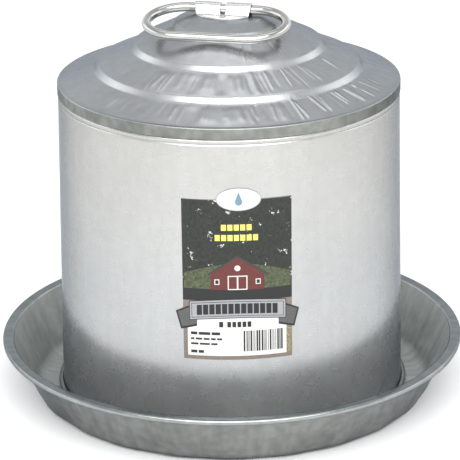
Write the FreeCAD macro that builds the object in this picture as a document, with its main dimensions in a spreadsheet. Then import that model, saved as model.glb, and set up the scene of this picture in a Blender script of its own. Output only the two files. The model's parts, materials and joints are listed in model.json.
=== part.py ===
import FreeCAD, Part
import math
import os

import Sketcher

# Double-wall poultry fount: an open tank fixed in a drinking pan, under a lift-off cover with a bail.
# Millimetres, +Z up, origin on the ground at the centre of the pan, -Y towards the label.

DIMENSIONS = {
    "sheet": 0.7,                 # gauge of the tank, cover and roof
    # drinking pan
    "pan_sheet": 0.8,
    "pan_wall_foot": 132.4,       # where the wall's outer line would meet the ground
    "pan_wall_lean": 23.5,        # degrees off vertical
    "pan_corner": 11.0,
    "pan_step_inner": 117.0,
    "pan_step_outer": 119.2,
    "pan_floor_top": 2.8,
    "pan_rim_radius": 155.6,
    "pan_rim_top": 39.25,
    "pan_rim_thick": 3.9,
    "pan_rim_inner": 150.4,
    "pan_rim_bend": 1.9,
    # water tank
    "tank_radius": 107.3,
    "tank_top": 210.6,
    "tank_bottom": 5.2,
    "tank_curl": 0.9,
    "tank_foot": 2.8,
    "sealant_leg": 3.0,
    # cover
    "cover_top_radius": 112.5,
    "cover_foot_radius": 115.55,
    "cover_foot": 5.0,
    "cover_shoulder": 208.4,
    "cover_neck_radius": 111.5,
    "cover_neck_top": 215.8,
    "neck_joggle": 1.0,           # height over which the wall steps in to its neck
    "hem_radius": 1.8,
    "band_radius": 113.0,
    "band_bottom": 209.8,
    "band_top": 217.0,
    "band_bend": 0.5,
    "sealant_rise": 0.6,          # gap from the band's edge up to its sealant
    # roof tiers, from the band up to the cap
    "tier_foot_radius": 109.8,
    "ring_low_outer": 88.3,
    "ring_low_inner": 85.3,
    "ring_low_foot": 224.9,
    "ring_low_head": 229.0,
    "ring_mid_outer": 63.7,
    "ring_mid_inner": 60.9,
    "ring_mid_foot": 238.3,
    "ring_mid_head": 242.1,
    "ring_top_outer": 38.0,
    "ring_top_inner": 34.3,
    "ring_top_foot": 253.2,
    "ring_top_head": 255.8,
    "cap_radius": 21.5,
    "cap_height": 258.6,
    # bail handle and its clip
    "wire_radius": 3.1,
    "bail_straight": 44.5,
    "bail_bend": 23.5,
    "bail_drop": 8.5,             # degrees below level when it lies on the roof
    "bail_yaw": -13.0,            # degrees about Z, right end towards the label
    "bail_height": 262.4,
    "bail_shift": -2.5,           # the bail's middle, off the fount's axis
    "bail_back": 3.0,
    "clip_half_length": 19.0,
    "clip_half_width": 13.5,
    "clip_sheet": 0.9,
    "clip_play": 0.3,
    "clip_notch": 3.2,
    "clip_notch_rise": 0.6,       # gap from the clip's flange up to its notch
    # lock studs and clips
    "stud_height": 15.0,
    "stud_radius": 2.5,
    "stud_reach": 4.6,
    "stud_head": 1.2,
    "stud_head_radius": 3.5,
    "weld_gap": 0.03,
    "lock_turn": 25.0,            # degrees from the seated place to the locked one
    "lock_clip_level": 7.3,
    "lock_clip_sheet": 0.9,
    "lock_clip_length": 16.0,
    "lock_clip_height": 9.0,
    "lock_clip_depth": 4.0,
    # valve
    "seat_height": 17.0,
    "seat_radius": 4.0,
    "seat_bore": 2.5,
    "seat_wall": 0.6,
    "seat_proud": 1.0,
    "seat_gap": 0.3,
    "pad_radius": 5.0,
    "pad_thick": 1.5,
    "lever_thick": 0.8,
    "lever_width": 8.0,
    "lever_foot": 11.0,
    "lever_head": 38.0,
    "pin_height": 30.0,
    "pin_radius": 1.0,
    "pin_play": 0.05,
    "pin_length": 15.0,
    "ear_gap": 12.2,
    "ear_thick": 0.8,
    "ear_height": 8.0,
    "ear_past_pin": 2.2,
    "rivet_radius": 1.4,
    "pad_rivet_bite": 0.6,        # how far the pad's rivet reaches into the rubber
    "pad_rivet_head": 0.9,
    "pad_rivet_spread": 2.5,      # radius of its head
    "pusher_level": 34.5,
    "pusher_length": 9.0,
    "pusher_height": 6.0,
    "pusher_reach": 4.2,
    # fasteners between tank and pan
    "base_rivet_ring": 78.0,
    "base_rivet_radius": 2.4,
    "base_rivet_head": 4.4,
    "base_rivet_foot": 1.2,       # thickness of the upset end under the floor
    "base_rivet_dome": 1.6,
    "base_washer": 1.2,           # how far the washer reaches past the rivet's head
    # label
    "label_thick": 0.2,
    "label_width": 35.2,          # degrees round the wall
    "label_left": -15.6,          # degrees from -Y, towards -X
    "label_low": 63.5,
    "label_tall": 107.5,
}

ROOT = 3.0       # how far a blank reaches into its wall before it is trimmed to it
TALL = 20.0      # height of a trimming body
THROUGH = 12.0   # length of a drill that goes right through a sheet

document = FreeCAD.newDocument("PoultryFount")
sheet = document.addObject("Spreadsheet::Sheet", "Dims")
for row, (alias, number) in enumerate(DIMENSIONS.items(), start=1):
    sheet.set("A%d" % row, alias)
    sheet.set("B%d" % row, str(number))
    sheet.setAlias("B%d" % row, alias)
document.recompute()


class Measure:
    """A size carried both as a number and as the sheet expression that gives it."""

    def __init__(self, value, text):
        self.value = value
        self.text = text

    def _with(self, other, operator, value):
        return Measure(value, "(%s %s %s)" % (self.text, operator, as_measure(other).text))

    def __add__(self, other):
        return self._with(other, "+", self.value + as_measure(other).value)

    def __sub__(self, other):
        return self._with(other, "-", self.value - as_measure(other).value)

    def __mul__(self, other):
        return self._with(other, "*", self.value * as_measure(other).value)

    def __truediv__(self, other):
        return self._with(other, "/", self.value / as_measure(other).value)


def as_measure(size):
    """A plain number as a Measure; a Measure as it is."""
    if isinstance(size, Measure):
        return size
    return Measure(float(size), repr(float(size)))


def dim(alias):
    """The Measure of one cell of the sheet."""
    return Measure(DIMENSIONS[alias], "Dims." + alias)


def trig(name, degrees):
    """The sine, cosine or tangent of a Measure in degrees."""
    value = getattr(math, name)(math.radians(degrees.value))
    return Measure(value, "%s(%s)" % (name, degrees.text))


def bind(thing, **sizes):
    """Tie properties of an object to the sheet."""
    for path, size in sizes.items():
        thing.setExpression(path.replace("__", "."), as_measure(size).text)


def place(thing, x=0, y=0, z=0, turn=None):
    """Put an object in its place, with each coordinate tied to the sheet."""
    if turn is not None:
        thing.Placement.Rotation = turn
    bind(thing, Placement__Base__x=x, Placement__Base__y=y, Placement__Base__z=z)
    return thing


# ---- solids from primitives ----

def cylinder(name, radius, height, **where):
    """An upright cylinder, or one along another axis when it is turned."""
    thing = document.addObject("Part::Cylinder", name)
    bind(thing, Radius=radius, Height=height)
    return place(thing, **where)


def cone(name, foot, head, height, angle=None, **where):
    """A cone or a wedge of one, foot radius first."""
    thing = document.addObject("Part::Cone", name)
    bind(thing, Radius1=foot, Radius2=head, Height=height)
    if angle is not None:
        bind(thing, Angle=angle)
    return place(thing, **where)


def box(name, length, width, height, x=0, y=0, z=0):
    """A box centred on x and y, standing on z."""
    thing = document.addObject("Part::Box", name)
    bind(thing, Length=length, Width=width, Height=height)
    left = as_measure(x) - as_measure(length) / 2
    near = as_measure(y) - as_measure(width) / 2
    return place(thing, left, near, z)


def cut(name, base, tool):
    """Base less tool."""
    thing = document.addObject("Part::Cut", name)
    thing.Base = base
    thing.Tool = tool
    return thing


def fuse(name, *shapes):
    """One solid from touching or overlapping ones."""
    thing = document.addObject("Part::MultiFuse", name)
    thing.Shapes = list(shapes)
    thing.Refine = True
    return thing


def group(name, *shapes):
    """Separate solids that share one node."""
    thing = document.addObject("Part::Compound", name)
    thing.Links = list(shapes)
    return thing


# ---- solids from sketches ----

def origin_plane(body, role):
    """One of a body's own origin planes, found by its role."""
    for feature in body.Origin.OriginFeatures:
        if feature.Role == role:
            return feature
    raise RuntimeError("no plane " + role)


def new_sketch(body, name, role):
    """An empty sketch on one of a body's origin planes."""
    sketch = body.newObject("Sketcher::SketchObject", name)
    sketch.AttachmentSupport = [(origin_plane(body, role), "")]
    sketch.MapMode = "FlatFace"
    return sketch


def hold(sketch, kind, place_of, size):
    """One driving constraint, tied to the sheet."""
    size = as_measure(size)
    index = sketch.addConstraint(Sketcher.Constraint(kind, *place_of, size.value))
    sketch.setExpression("Constraints[%d]" % index, size.text)


def arc_through(start, end, radius, side):
    """The arc of under half a turn from start to end, bulging to its left (+1) or right (-1)."""
    chord = FreeCAD.Vector(end[0] - start[0], end[1] - start[1], 0)
    half = chord.Length / 2
    middle = FreeCAD.Vector((start[0] + end[0]) / 2, (start[1] + end[1]) / 2, 0)
    left = FreeCAD.Vector(-chord.y, chord.x, 0).normalize()
    centre = middle - left * side * math.sqrt(max(radius ** 2 - half ** 2, 0))
    circle = Part.Circle(centre, FreeCAD.Vector(0, 0, 1), radius)
    angles = [math.atan2(point[1] - centre.y, point[0] - centre.x) for point in (start, end)]
    if side > 0:
        angles.reverse()
    return Part.ArcOfCircle(circle, *angles)


def outline(sketch, points):
    """A closed outline: each point is (x, y), or (x, y, radius, side) where an arc leads to it."""
    corners = [(as_measure(point[0]), as_measure(point[1])) for point in points]
    count = len(corners)
    ends = []
    for index, point in enumerate(points):
        before = corners[index - 1]
        here = corners[index]
        start = (before[0].value, before[1].value)
        end = (here[0].value, here[1].value)
        if len(point) == 4:
            radius = as_measure(point[2])
            arc = arc_through(start, end, radius.value, point[3])
            edge = sketch.addGeometry(arc)
            ends.append((edge, 2, 1) if point[3] > 0 else (edge, 1, 2))
            hold(sketch, "Radius", (edge,), radius)
        else:
            line = Part.LineSegment(FreeCAD.Vector(*start, 0), FreeCAD.Vector(*end, 0))
            edge = sketch.addGeometry(line)
            ends.append((edge, 1, 2))
    for index in range(count):
        edge, first, last = ends[index]
        following = ends[(index + 1) % count]
        sketch.addConstraint(Sketcher.Constraint("Coincident", edge, last, following[0], following[1]))
        hold(sketch, "DistanceX", (-1, 1, edge, last), corners[index][0])
        hold(sketch, "DistanceY", (-1, 1, edge, last), corners[index][1])


def revolved(label, *outlines):
    """A body turned about Z from outlines of (radius, height)."""
    body = document.addObject("PartDesign::Body", label)
    sketch = new_sketch(body, label + "_profile", "XZ_Plane")
    for points in outlines:
        outline(sketch, points)
    turned = body.newObject("PartDesign::Revolution", label + "_turned")
    turned.Profile = sketch
    turned.ReferenceAxis = (sketch, ["V_Axis"])
    turned.Angle = 360
    body.Tip = turned
    return body


# ---- drinking pan ----

def make_pan():
    """Drawn basin: stepped floor, leaning wall and a rolled rim, open underneath."""
    t = dim("pan_sheet")
    lean = dim("pan_wall_lean")
    slope = trig("tan", lean)
    foot = dim("pan_wall_foot")
    floor = dim("pan_floor_top")
    bend = dim("pan_corner")
    tilt = Measure((90 - lean.value) / 2, "((90 - Dims.pan_wall_lean) / 2)")
    run = bend * trig("tan", tilt)
    inner_bend = bend - t
    inner_run = inner_bend * trig("tan", tilt)
    wall_gap = t / trig("cos", lean)
    inner_foot = foot - wall_gap + t * slope
    top = dim("pan_rim_top")
    roll = dim("pan_rim_thick") / 2
    inner_roll = roll - t
    low = top - dim("pan_rim_thick")
    rim_mid = dim("pan_rim_radius") - roll
    under = top - t
    bend_out = dim("pan_rim_bend")
    wall_head = foot + top * slope - wall_gap
    inner_edge = [
        (0, floor - t),
        (dim("pan_step_inner"), floor - t),
        (dim("pan_step_outer"), 0),
        (foot - run, 0),
        (foot + run * trig("sin", lean), run * trig("cos", lean), bend, -1),
        (foot + under * slope, under),
        (rim_mid, under),
        (rim_mid + inner_roll, top - roll, inner_roll, 1),
        (rim_mid, low + t, inner_roll, 1),
        (dim("pan_rim_inner"), low + t),
        (dim("pan_rim_inner"), low),
        (rim_mid, low),
        (rim_mid + roll, top - roll, roll, -1),
        (rim_mid, top, roll, -1),
        (wall_head + bend_out * 0.8, top),
        (wall_head - slope * bend_out, top - bend_out, bend_out, -1),
        (inner_foot + inner_run * trig("sin", lean), t + inner_run * trig("cos", lean)),
        (inner_foot - inner_run, t, inner_bend, 1),
        (dim("pan_step_outer") + t * 0.4, t),
        (dim("pan_step_inner") + t * 0.4, floor),
        (0, floor),
    ]
    return revolved("pan", inner_edge)


# ---- water tank ----

def make_tank_wall():
    """Open can wall with a curled lip, standing on the pan."""
    t = dim("sheet")
    out = dim("tank_radius")
    top = dim("tank_top")
    curl = dim("tank_curl")
    shell = revolved("tank_wall", [
        (out - t, dim("tank_foot")),
        (out, dim("tank_foot")),
        (out, top - curl * 2),
        (out + curl, top - curl, curl, -1),
        (out, top, curl, -1),
        (out - t, top),
    ])
    return shell


def make_tank_bottom():
    """Dished disc seated inside the wall, with a flange turned down to the pan."""
    t = dim("sheet")
    out = dim("tank_radius") - t
    lift = dim("tank_bottom")
    return revolved("tank_bottom", [
        (0, lift),
        (out - t, lift),
        (out - t, dim("tank_foot")),
        (out, dim("tank_foot")),
        (out, lift + t),
        (0, lift + t),
    ])


def make_tank_sealant():
    """Fillet of sealant round the inside of the bottom seam."""
    t = dim("sheet")
    out = dim("tank_radius") - t
    level = dim("tank_bottom") + t
    return revolved("tank_sealant", [
        (out - dim("sealant_leg"), level),
        (out, level),
        (out, level + dim("sealant_leg")),
    ])


def base_rivet_places():
    """Where the four rivets stand, evenly round the tank's bottom."""
    spots = []
    for degrees in (45, 135, 225, 315):
        angle = math.radians(degrees)
        ring = dim("base_rivet_ring")
        spots.append((ring * round(math.cos(angle), 6), ring * round(math.sin(angle), 6)))
    return spots


def make_base_fasteners():
    """Four rivets and rubber washers that hold the tank bottom to the pan floor."""
    t = dim("sheet")
    pan_under = dim("pan_floor_top") - dim("pan_sheet")
    floor = dim("pan_floor_top")
    above = dim("tank_bottom") + t
    gap = dim("tank_bottom") - floor
    upset = dim("base_rivet_foot")
    rivets = []
    washers = []
    for number, (x, y) in enumerate(base_rivet_places(), start=1):
        tag = "_%d" % number
        shank = cylinder("base_shank" + tag, dim("base_rivet_radius"),
                         above - pan_under + upset, x=x, y=y, z=pan_under - upset / 2)
        foot = cylinder("base_foot" + tag, dim("base_rivet_head"), upset, x=x, y=y, z=pan_under - upset)
        head = cone("base_head" + tag, dim("base_rivet_head"), dim("base_rivet_radius") * 0.8,
                    dim("base_rivet_dome"), x=x, y=y, z=above)
        rivets.append(fuse("base_rivet" + tag, shank, foot, head))
        ring = cylinder("washer_disc" + tag, dim("base_rivet_head") + dim("base_washer"), gap,
                        x=x, y=y, z=floor)
        hole = cylinder("washer_hole" + tag, dim("base_rivet_radius"), gap, x=x, y=y, z=floor)
        washers.append(cut("washer" + tag, ring, hole))
    return rivets, washers


# ---- cover ----

def wall_radius(z):
    """The cover wall's outer radius at a height, on its straight taper."""
    foot = dim("cover_foot")
    share = (as_measure(z) - foot) / (dim("cover_shoulder") - foot)
    return dim("cover_foot_radius") - (dim("cover_foot_radius") - dim("cover_top_radius")) * share


def make_cover_wall():
    """Tapered shell: rolled hem at the foot, joggled neck inside the roof seam."""
    t = dim("sheet")
    hem = dim("hem_radius")
    foot = dim("cover_foot")
    out = dim("cover_foot_radius")
    neck = dim("cover_neck_radius")
    shoulder = dim("cover_shoulder")
    top = dim("cover_top_radius")
    joggle = dim("neck_joggle")
    hem_mid = out - t + hem
    return revolved("cover_wall", [
        (out - t, foot),
        (hem_mid, foot - hem, hem, -1),
        (hem_mid + hem, foot, hem, -1),
        (hem_mid, foot + hem, hem, -1),
        (wall_radius(foot + hem), foot + hem),
        (top, shoulder),
        (neck, shoulder + joggle),
        (neck, dim("cover_neck_top")),
        (neck - t, dim("cover_neck_top")),
        (neck - t, shoulder + joggle * 0.8),
        (top - t, shoulder - joggle * 0.2),
    ])


def roof_points(drop):
    """The roof's stepped line from the band in to the cap, lowered by drop."""
    return [
        (dim("tier_foot_radius"), dim("band_top") - drop),
        (dim("ring_low_outer"), dim("ring_low_foot") - drop),
        (dim("ring_low_inner"), dim("ring_low_head") - drop),
        (dim("ring_mid_outer"), dim("ring_mid_foot") - drop),
        (dim("ring_mid_inner"), dim("ring_mid_head") - drop),
        (dim("ring_top_outer"), dim("ring_top_foot") - drop),
        (dim("ring_top_inner"), dim("ring_top_head") - drop),
        (dim("cap_radius"), dim("cap_height") - drop),
        (0, dim("cap_height") - drop),
    ]


def make_cover_roof():
    """Stepped cone of one sheet, its edge turned down over the neck of the wall."""
    t = dim("sheet")
    band = dim("band_radius")
    bend = dim("band_bend")
    slanted = t * 1.1
    upper = roof_points(0)
    lower = roof_points(slanted)
    lower.reverse()
    skirt = [
        (band - t, dim("band_top") - slanted),
        (band - t, dim("band_bottom")),
        (band, dim("band_bottom")),
        (band, dim("band_top") - bend),
        (band - bend, dim("band_top"), bend, 1),
    ]
    return revolved("cover_roof", upper + lower + skirt)


def make_roof_sealant():
    """Ring of sealant between the neck of the wall and the roof's skirt."""
    low = dim("band_bottom") + dim("sealant_rise")
    return revolved("roof_sealant", [
        (dim("cover_neck_radius"), low),
        (dim("band_radius") - dim("sheet"), low),
        (dim("band_radius") - dim("sheet"), dim("cover_neck_top")),
        (dim("cover_neck_radius"), dim("cover_neck_top")),
    ])


def make_label():
    """Paper sheet glued round the front of the tapered wall."""
    low = dim("label_low")
    tall = dim("label_tall")
    thick = dim("label_thick")
    start = FreeCAD.Rotation(FreeCAD.Vector(0, 0, 1), 270 + DIMENSIONS["label_left"])
    skin = cone("label_skin", wall_radius(low) + thick, wall_radius(low + tall) + thick, tall,
                angle=dim("label_width"), z=low, turn=start)
    core = cone("label_core", wall_radius(low), wall_radius(low + tall), tall, z=low)
    return cut("label", skin, core)


# ---- bail handle and clip ----

BAIL_TURN = FreeCAD.Rotation(FreeCAD.Vector(0, 0, 1), DIMENSIONS["bail_yaw"])
ALONG_X = FreeCAD.Rotation(FreeCAD.Vector(0, 1, 0), 90)


def make_handle():
    """Closed oval ring of round wire, its back leg on the hinge line, lying down towards the label."""
    half = dim("bail_straight") / 2
    bend = dim("bail_bend")
    wire = dim("wire_radius")
    pieces = []
    for side, sign, start in (("left", -1, 90), ("right", 1, 270)):
        arch = document.addObject("Part::Torus", "bail_bend_" + side)
        bind(arch, Radius1=bend, Radius2=wire, Angle3=180)
        half_turn = FreeCAD.Rotation(FreeCAD.Vector(0, 0, 1), start)
        pieces.append(place(arch, half * sign, bend * -1, 0, turn=half_turn))
    for leg, y in (("back", 0), ("front", bend * -2)):
        pieces.append(cylinder("bail_leg_" + leg, wire, half * 2, x=half * -1, y=y, turn=ALONG_X))
    ring = fuse("handle", *pieces)
    tip = FreeCAD.Rotation(FreeCAD.Vector(1, 0, 0), DIMENSIONS["bail_drop"])
    return place(ring, dim("bail_shift"), dim("bail_back"), dim("bail_height"), turn=BAIL_TURN.multiply(tip))


def make_handle_clip():
    """Oval saddle on the cap: two tunnels over the wire, with a notch between them."""
    t = dim("clip_sheet")
    bore = dim("wire_radius") + dim("clip_play")
    out = bore + t
    length = dim("clip_half_length") * 2
    rise = dim("bail_height") - dim("cap_height")
    foot = dim("cap_height")
    plate = document.addObject("Part::Ellipse", "clip_oval")
    bind(plate, MajorRadius=dim("clip_half_length"), MinorRadius=dim("clip_half_width"))
    place(plate, 0, 0, foot)
    flange = document.addObject("Part::Extrusion", "clip_flange")
    flange.Base = plate
    flange.Dir = FreeCAD.Vector(0, 0, 1)
    flange.Solid = True
    bind(flange, LengthFwd=t)
    crown = cylinder("clip_crown", out, length, x=dim("clip_half_length") * -1, z=dim("bail_height"),
                     turn=ALONG_X)
    sides = box("clip_sides", length, out * 2, rise, z=foot)
    trim = box("clip_trim", length, out * 4, rise + out * 2, z=foot)
    hump = document.addObject("Part::MultiCommon", "clip_hump")
    hump.Shapes = [fuse("clip_arch", crown, sides), trim]
    shell = fuse("clip_shell", flange, hump)
    tunnel = cylinder("clip_tunnel", bore, length * 2, x=length * -1, z=dim("bail_height"), turn=ALONG_X)
    slot = box("clip_slot", length * 2, bore * 2, rise * 2, z=foot - rise)
    notch = box("clip_gap", dim("clip_notch"), out * 4, out * 2, z=foot + t + dim("clip_notch_rise"))
    saddle = cut("handle_clip", shell, fuse("clip_void", tunnel, slot, notch))
    return place(saddle, dim("bail_shift"), dim("bail_back"), 0, turn=BAIL_TURN)


# ---- lock ----

def around(thing, degrees):
    """Turn a placed sub-part about the fount's own axis."""
    thing.Placement = FreeCAD.Placement(FreeCAD.Vector(), FreeCAD.Rotation(FreeCAD.Vector(0, 0, 1), degrees))
    return thing


def make_lock_studs():
    """Two headed studs on the tank wall, opposite each other."""
    studs = []
    for number, degrees in enumerate((0, 180), start=1):
        tag = "_%d" % number
        start = dim("tank_radius")
        shank = cylinder("stud_shank" + tag, dim("stud_radius"), dim("stud_reach") + ROOT, x=start - ROOT,
                         z=dim("stud_height"), turn=ALONG_X)
        head = cylinder("stud_head" + tag, dim("stud_head_radius"), dim("stud_head"),
                        x=start + dim("stud_reach") - dim("stud_head"), z=dim("stud_height"), turn=ALONG_X)
        wall = cylinder("stud_wall" + tag, dim("tank_radius"), TALL, z=dim("stud_height") - TALL / 2)
        whole = fuse("stud_whole" + tag, shank, head)
        studs.append(around(cut("stud" + tag, whole, wall), degrees))
    return studs


def cover_bore(name, level):
    """The space inside the cover wall round a height, a hair smaller than the wall."""
    low = level - TALL / 2
    inset = dim("sheet") + dim("weld_gap")
    return cone(name, wall_radius(low) - inset, wall_radius(low + TALL) - inset, TALL, z=low)


def make_lock_clips():
    """Two angle clips inside the cover that turn under the studs to lock."""
    clips = []
    for number, degrees in enumerate((0, 180), start=1):
        tag = "_%d" % number
        level = dim("lock_clip_level")
        face = wall_radius(level) - dim("sheet")
        reach = dim("lock_clip_depth")
        fold = dim("lock_clip_sheet")
        block = box("lock_block" + tag, reach + ROOT, dim("lock_clip_length"), dim("lock_clip_height"),
                    x=face - (reach - ROOT) / 2, z=level)
        hollow = box("lock_hollow" + tag, reach + ROOT, dim("lock_clip_length") * 1.2,
                     dim("lock_clip_height"), x=face - fold - (reach + ROOT) / 2, z=level + fold)
        bore = cover_bore("lock_bore" + tag, level)
        bracket = cut("lock_bracket" + tag, block, hollow)
        clip = document.addObject("Part::MultiCommon", "lock_clip" + tag)
        clip.Shapes = [bracket, bore]
        clips.append(around(clip, DIMENSIONS["lock_turn"] + degrees))
    return clips


# ---- outlet valve, on the back of the tank ----

ALONG_Y = FreeCAD.Rotation(FreeCAD.Vector(1, 0, 0), -90)


def lever_plane():
    """Distance from the axis to the middle of the lever's sheet."""
    pad_face = dim("tank_radius") + dim("seat_proud") + dim("seat_gap")
    return pad_face + dim("pad_thick") + dim("lever_thick") / 2


def make_valve_seat():
    """Flanged eyelet pressed through the tank wall."""
    body = document.addObject("PartDesign::Body", "valve_seat")
    sketch = new_sketch(body, "valve_seat_profile", "XZ_Plane")
    neck = dim("sheet") + dim("seat_proud")
    outline(sketch, [
        (dim("seat_bore"), 0),
        (dim("seat_bore") + dim("seat_wall"), 0),
        (dim("seat_bore") + dim("seat_wall"), neck),
        (dim("seat_radius"), neck),
        (dim("seat_radius"), neck + dim("seat_proud")),
        (dim("seat_bore"), neck + dim("seat_proud")),
    ])
    turned = body.newObject("PartDesign::Revolution", "valve_seat_turned")
    turned.Profile = sketch
    turned.ReferenceAxis = (sketch, ["V_Axis"])
    turned.Angle = 360
    body.Tip = turned
    return place(body, 0, dim("tank_radius") - neck, dim("seat_height"), turn=ALONG_Y)


def make_valve_lever():
    """Stamped arm with a hinge barrel across it."""
    plane = lever_plane()
    arm = box("lever_arm", dim("lever_width"), dim("lever_thick"),
              dim("lever_head") - dim("lever_foot"), y=plane, z=dim("lever_foot"))
    barrel = cylinder("lever_barrel", dim("pin_radius") + dim("pin_play") + dim("lever_thick"),
                      dim("lever_width"), x=dim("lever_width") / -2, y=plane, z=dim("pin_height"),
                      turn=ALONG_X)
    bore = cylinder("lever_bore", dim("pin_radius") + dim("pin_play"), dim("lever_width") * 2,
                    x=dim("lever_width") * -1, y=plane, z=dim("pin_height"), turn=ALONG_X)
    hole = cylinder("lever_hole", dim("rivet_radius"), THROUGH, y=plane - THROUGH / 2,
                    z=dim("seat_height"), turn=ALONG_Y)
    return cut("valve_lever", fuse("lever_blank", arm, barrel), fuse("lever_voids", bore, hole))


def make_valve_pad():
    """Rubber disc that closes the seat, and the rivet that holds it to the lever."""
    plane = lever_plane()
    back = plane - dim("lever_thick") / 2
    level = dim("seat_height")
    disc = cylinder("pad_disc", dim("pad_radius"), dim("pad_thick"), y=back - dim("pad_thick"),
                    z=level, turn=ALONG_Y)
    hole = cylinder("pad_hole", dim("rivet_radius"), THROUGH, y=back - THROUGH / 2, z=level, turn=ALONG_Y)
    pad = cut("valve_pad", disc, hole)
    bite = dim("pad_rivet_bite")
    shank = cylinder("pad_shank", dim("rivet_radius"), dim("lever_thick") + bite * 2, y=back - bite,
                     z=level, turn=ALONG_Y)
    head = cone("pad_head", dim("pad_rivet_spread"), dim("rivet_radius"), dim("pad_rivet_head"),
                y=plane + dim("lever_thick") / 2, z=level, turn=ALONG_Y)
    return pad, fuse("valve_pad_rivet", shank, head)


def make_valve_bracket():
    """Folded bracket on the tank wall whose ears carry the hinge pin, and the pin."""
    plane = lever_plane()
    face = dim("tank_radius")
    ear = dim("ear_thick")
    width = dim("ear_gap") + ear * 2
    tall = dim("ear_height")
    low = dim("pin_height") - tall / 2
    back = box("bracket_back", width, ear + ROOT, tall, y=face + (ear - ROOT) / 2, z=low)
    outer = plane + dim("ear_past_pin")
    ears = []
    for side, sign in (("left", -1), ("right", 1)):
        ears.append(box("bracket_ear_" + side, ear, outer - face + ROOT, tall,
                        x=(dim("ear_gap") + ear) * (0.5 * sign), y=(outer + face - ROOT) / 2, z=low))
    blank = fuse("bracket_blank", back, *ears)
    wall = cylinder("bracket_wall", face, TALL, z=dim("pin_height") - TALL / 2)
    bore = cylinder("bracket_bore", dim("pin_radius"), width * 2, x=width * -1, y=plane,
                    z=dim("pin_height"), turn=ALONG_X)
    bracket = cut("valve_bracket", blank, fuse("bracket_voids", wall, bore))
    pin = cylinder("valve_pin", dim("pin_radius"), dim("pin_length"), x=dim("pin_length") / -2,
                   y=plane, z=dim("pin_height"), turn=ALONG_X)
    return bracket, pin


def make_valve_pusher():
    """Ramp inside the cover that presses the lever's head when the cover is turned to lock."""
    level = dim("pusher_level")
    tall = dim("pusher_height")
    face = wall_radius(level) - dim("sheet")
    block = box("pusher_block", dim("pusher_length"), dim("pusher_reach") + ROOT, tall,
                y=face - (dim("pusher_reach") - ROOT) / 2, z=level)
    ramp = document.addObject("Part::MultiCommon", "valve_pusher")
    ramp.Shapes = [block, cover_bore("pusher_bore", level)]
    return around(ramp, DIMENSIONS["lock_turn"])


# ---- assembly ----

pan_blank = make_pan()
tank_wall_blank = make_tank_wall()
tank_bottom_blank = make_tank_bottom()
tank_sealant = make_tank_sealant()
base_rivets, base_washers = make_base_fasteners()
lock_studs = make_lock_studs()
valve_seat = make_valve_seat()
valve_lever = make_valve_lever()
valve_pad, valve_pad_rivet = make_valve_pad()
valve_bracket, valve_pin = make_valve_bracket()
outlet = cylinder("outlet_hole", dim("seat_bore") + dim("seat_wall"), THROUGH,
                  y=dim("tank_radius") - THROUGH / 2, z=dim("seat_height"), turn=ALONG_Y)
floor_holes = fuse("floor_holes", *[
    cylinder("floor_hole_%d" % number, dim("base_rivet_radius"), THROUGH, x=x, y=y, z=THROUGH / -2)
    for number, (x, y) in enumerate(base_rivet_places(), start=1)])

NODES = {
    "pan": cut("pan_pierced", pan_blank, floor_holes),
    "tank_wall": cut("tank_wall_pierced", tank_wall_blank, outlet),
    "tank_bottom": cut("tank_bottom_pierced", tank_bottom_blank, floor_holes),
    "tank_sealant": tank_sealant,
    "base_rivets": group("base_rivet_group", *base_rivets),
    "base_washers": group("base_washer_group", *base_washers),
    "lock_studs": group("lock_stud_group", *lock_studs),
    "valve_seat": valve_seat,
    "valve_bracket": valve_bracket,
    "valve_pin": valve_pin,
    "valve_lever": valve_lever,
    "valve_pad": valve_pad,
    "valve_pad_rivet": valve_pad_rivet,
    "cover_wall": make_cover_wall(),
    "cover_roof": make_cover_roof(),
    "roof_sealant": make_roof_sealant(),
    "lock_clips": group("lock_clip_group", *make_lock_clips()),
    "valve_pusher": make_valve_pusher(),
    "handle_clip": make_handle_clip(),
    "label": make_label(),
    "handle": make_handle(),
}


def check_and_write():
    """Refuse a failed feature or an unsound shape, then write one STEP file for each node."""
    document.recompute()
    for thing in document.Objects:
        if "Invalid" in thing.State or "Error" in thing.State:
            raise RuntimeError("%s failed: %s" % (thing.Name, thing.State))
    for node, thing in NODES.items():
        shape = thing.Shape
        if shape.isNull() or not shape.isValid() or not shape.Solids:
            raise RuntimeError("%s has no sound shape" % node)
        thing.Label = node
    os.makedirs("parts", exist_ok=True)
    for node, thing in NODES.items():
        thing.Shape.exportStep("parts/%s.step" % node)
        print("%-16s %2d solids %10.1f mm3" % (node, len(thing.Shape.Solids), thing.Shape.Volume))


check_and_write()
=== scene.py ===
import json
import math
import random
from types import SimpleNamespace

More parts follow.
